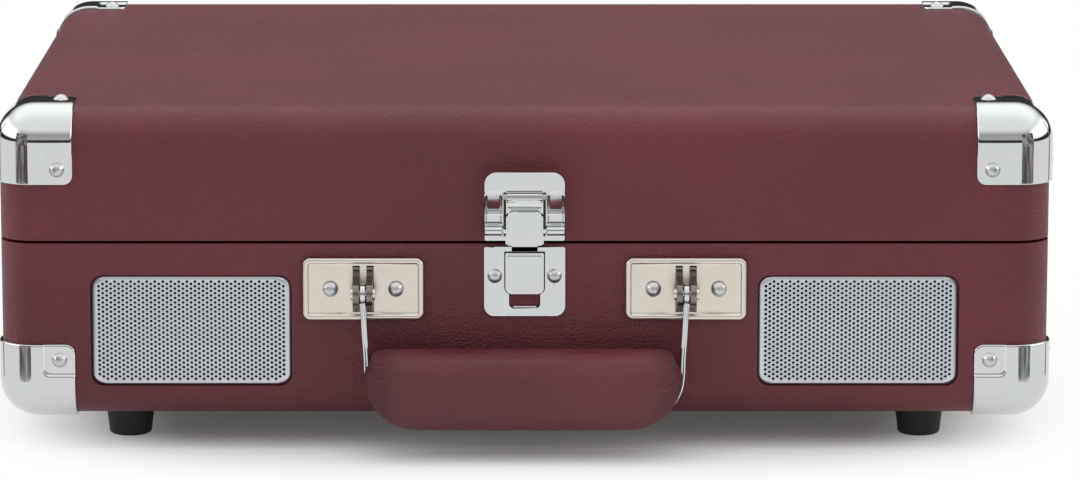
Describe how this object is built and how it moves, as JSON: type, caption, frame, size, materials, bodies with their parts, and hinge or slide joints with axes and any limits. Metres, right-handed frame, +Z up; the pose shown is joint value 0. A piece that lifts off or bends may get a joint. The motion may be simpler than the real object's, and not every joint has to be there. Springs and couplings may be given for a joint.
{
  "type": "portable record player",
  "caption": "Suitcase record player shut for carrying: leatherette case and hinged lid, metal corner guards, draw latch, padded handle, front speaker grilles, turntable deck inside.",
  "frame": {"origin": "on the floor under the middle of the whole outline, handle and hinges included", "axes": "+X to the right seen from the front, +Y from the front face to the rear, +Z up; the latch and handle face -Y"},
  "size_m": [0.3606, 0.2952, 0.1191],
  "materials": {
    "case_wood": "raw board, unseen inside the case",
    "leatherette": "grained burgundy leatherette, low sheen",
    "bright_nickel": "polished plating",
    "satin_nickel": "satin plating with a warm tint",
    "steel": "plain zinc-plated steel",
    "grille_metal": "perforated sheet, satin",
    "speaker_basket": "black painted basket",
    "speaker_paper": "dark paper cone",
    "foot_rubber": "matt black rubber",
    "deck_panel": "textured burgundy deck",
    "motor_case": "bright tinned steel can",
    "circuit_board": "green board with small components",
    "wire_cover": "soft insulation",
    "black_plastic": "fine-textured black",
    "knob_plastic": "smooth black with a knurled side",
    "brass": "turned and plated",
    "lid_lining": "short dark flocked lining",
    "platter_metal": "dark enamel",
    "slipmat": "felt",
    "belt_rubber": "smooth black rubber",
    "arm_alloy": "satin tube",
    "cartridge_plastic": "red body",
    "switch_plastic": "ivory"
  },
  "bodies": {
    "base": {"base_frame": "case_wood", "bottom_board": "case_wood", "base_covering": "leatherette", "base_corner_guards": "bright_nickel", "base_rivets": "bright_nickel", "catch_plate": "bright_nickel", "handle_plates": "satin_nickel", "handle_brackets": "satin_nickel", "front_rivets": "bright_nickel", "handle_pivot_pins": "satin_nickel", "speaker_grille_left": "grille_metal", "speaker_grille_right": "grille_metal", "speaker_left": "speaker_basket", "speaker_right": "speaker_basket", "speaker_cones": "speaker_paper", "feet": "foot_rubber", "foot_screws": "steel", "deck_plate": "deck_panel", "deck_screws": "steel", "spindle": "steel", "motor": "motor_case", "main_board": "circuit_board", "internal_wires": "wire_cover", "volume_pot": "steel", "arm_base": "black_plastic", "arm_rest": "black_plastic", "jack_panel": "black_plastic", "rca_jacks": "brass", "dc_jack": "black_plastic", "phone_jacks": "black_plastic", "hinge_base_leaves": "steel", "stay_base_bracket": "steel", "drive_belt": "belt_rubber"},
    "lid": {"lid_frame": "case_wood", "lid_covering": "leatherette", "lid_lining": "lid_lining", "lid_corner_guards": "bright_nickel", "lid_rivets": "bright_nickel", "latch_plate": "bright_nickel", "hinge_lid_leaves": "steel", "stay_lid_bracket": "steel"},
    "lever": {"latch_lever": "bright_nickel"},
    "hasp": {"latch_hasp": "bright_nickel"},
    "handle": {"handle_strap": "bright_nickel", "handle_grip": "leatherette"},
    "stay_lower": {"stay_lower_link": "steel"},
    "stay_upper": {"stay_upper_link": "steel"},
    "turntable": {"platter": "platter_metal", "slipmat": "slipmat"},
    "pulley": {"motor_pulley": "brass"},
    "arm_yoke": {"arm_gimbal": "bright_nickel"},
    "arm": {"tonearm": "arm_alloy", "cartridge": "cartridge_plastic"},
    "cue": {"cue_lever": "bright_nickel"},
    "lift": {"cue_bar": "black_plastic"},
    "clip": {"arm_clip": "black_plastic"},
    "knob": {"volume_knob": "knob_plastic"},
    "speed": {"speed_switch": "switch_plastic"},
    "stop": {"stop_switch": "switch_plastic"},
    "adapter": {"record_adapter": "black_plastic"}
  },
  "joints": [
    {"name": "lid_hinge", "type": "hinge", "parent": "base", "child": "lid", "pos_m": [0, 0.145, 0.0716], "axis": [-1, 0, 0], "range_deg": [0, 98]},
    {"name": "stay_lower_pivot", "type": "hinge", "parent": "base", "child": "stay_lower", "pos_m": [-0.16475, 0.089, 0.0736], "axis": [-1, 0, 0], "range_deg": [0, 98]},
    {"name": "stay_knee", "type": "hinge", "parent": "stay_lower", "child": "stay_upper", "pos_m": [-0.16295, 0.045, 0.0996], "axis": [-1, 0, 0], "range_deg": [-98, 0]},
    {"name": "latch_lever_pivot", "type": "hinge", "parent": "lid", "child": "lever", "pos_m": [0, -0.1286, 0.0763], "axis": [1, 0, 0], "range_deg": [0, 80]},
    {"name": "latch_hasp_pivot", "type": "hinge", "parent": "lid", "child": "hasp", "pos_m": [0, -0.1277, 0.0873], "axis": [-1, 0, 0], "range_deg": [0, 30]},
    {"name": "handle_swing", "type": "hinge", "parent": "base", "child": "handle", "pos_m": [0, -0.132, 0.0552], "axis": [-1, 0, 0], "range_deg": [0, 90]},
    {"name": "platter_spin", "type": "hinge", "parent": "base", "child": "turntable", "pos_m": [-0.04, -0.0075, 0.0746], "axis": [0, 0, -1], "continuous": true},
    {"name": "pulley_spin", "type": "hinge", "parent": "base", "child": "pulley", "pos_m": [-0.09834, 0.05084, 0.0681], "axis": [0, 0, -1], "continuous": true},
    {"name": "arm_swing", "type": "hinge", "parent": "base", "child": "arm_yoke", "pos_m": [0.122, 0.1005, 0.078], "axis": [0, 0, -1], "range_deg": [0, 42]},
    {"name": "arm_lift", "type": "hinge", "parent": "arm_yoke", "child": "arm", "pos_m": [0.122, 0.1005, 0.09], "axis": [-1, 0, 0], "range_deg": [0, 2.5]},
    {"name": "cue_lever_pivot", "type": "hinge", "parent": "base", "child": "cue", "pos_m": [0.142, 0.0845, 0.0761], "axis": [-1, 0, 0], "range_deg": [0, 60]},
    {"name": "cue_bar_slide", "type": "slide", "parent": "base", "child": "lift", "axis": [0, 0, 1], "range_m": [0, 0.0019]},
    {"name": "arm_clip_pivot", "type": "hinge", "parent": "base", "child": "clip", "pos_m": [0.129, -0.0175, 0.095], "axis": [0, -1, 0], "range_deg": [0, 85]},
    {"name": "volume_turn", "type": "hinge", "parent": "base", "child": "knob", "pos_m": [0.151, -0.0915, 0.0711], "axis": [0, 0, -1], "range_deg": [0, 280]},
    {"name": "speed_switch_slide", "type": "slide", "parent": "base", "child": "speed", "axis": [1, 0, 0], "range_m": [0, 0.01]},
    {"name": "stop_switch_slide", "type": "slide", "parent": "base", "child": "stop", "axis": [1, 0, 0], "range_m": [0, 0.005]},
    {"name": "adapter_lift", "type": "slide", "parent": "base", "child": "adapter", "axis": [0, 0, 1], "range_m": [0, 0.02]}
  ],
  "couplings": [
    {"joint": "stay_lower_pivot", "follows": "lid_hinge", "ratio": 1},
    {"joint": "stay_knee", "follows": "lid_hinge", "ratio": -1},
    {"joint": "latch_hasp_pivot", "follows": "latch_lever_pivot", "ratio": 0.375},
    {"joint": "pulley_spin", "follows": "platter_spin", "ratio": 16},
    {"joint": "arm_lift", "follows": "cue_lever_pivot", "ratio": 0.041667},
    {"joint": "cue_bar_slide", "follows": "cue_lever_pivot", "m_per_rad": 0.0018}
  ]
}
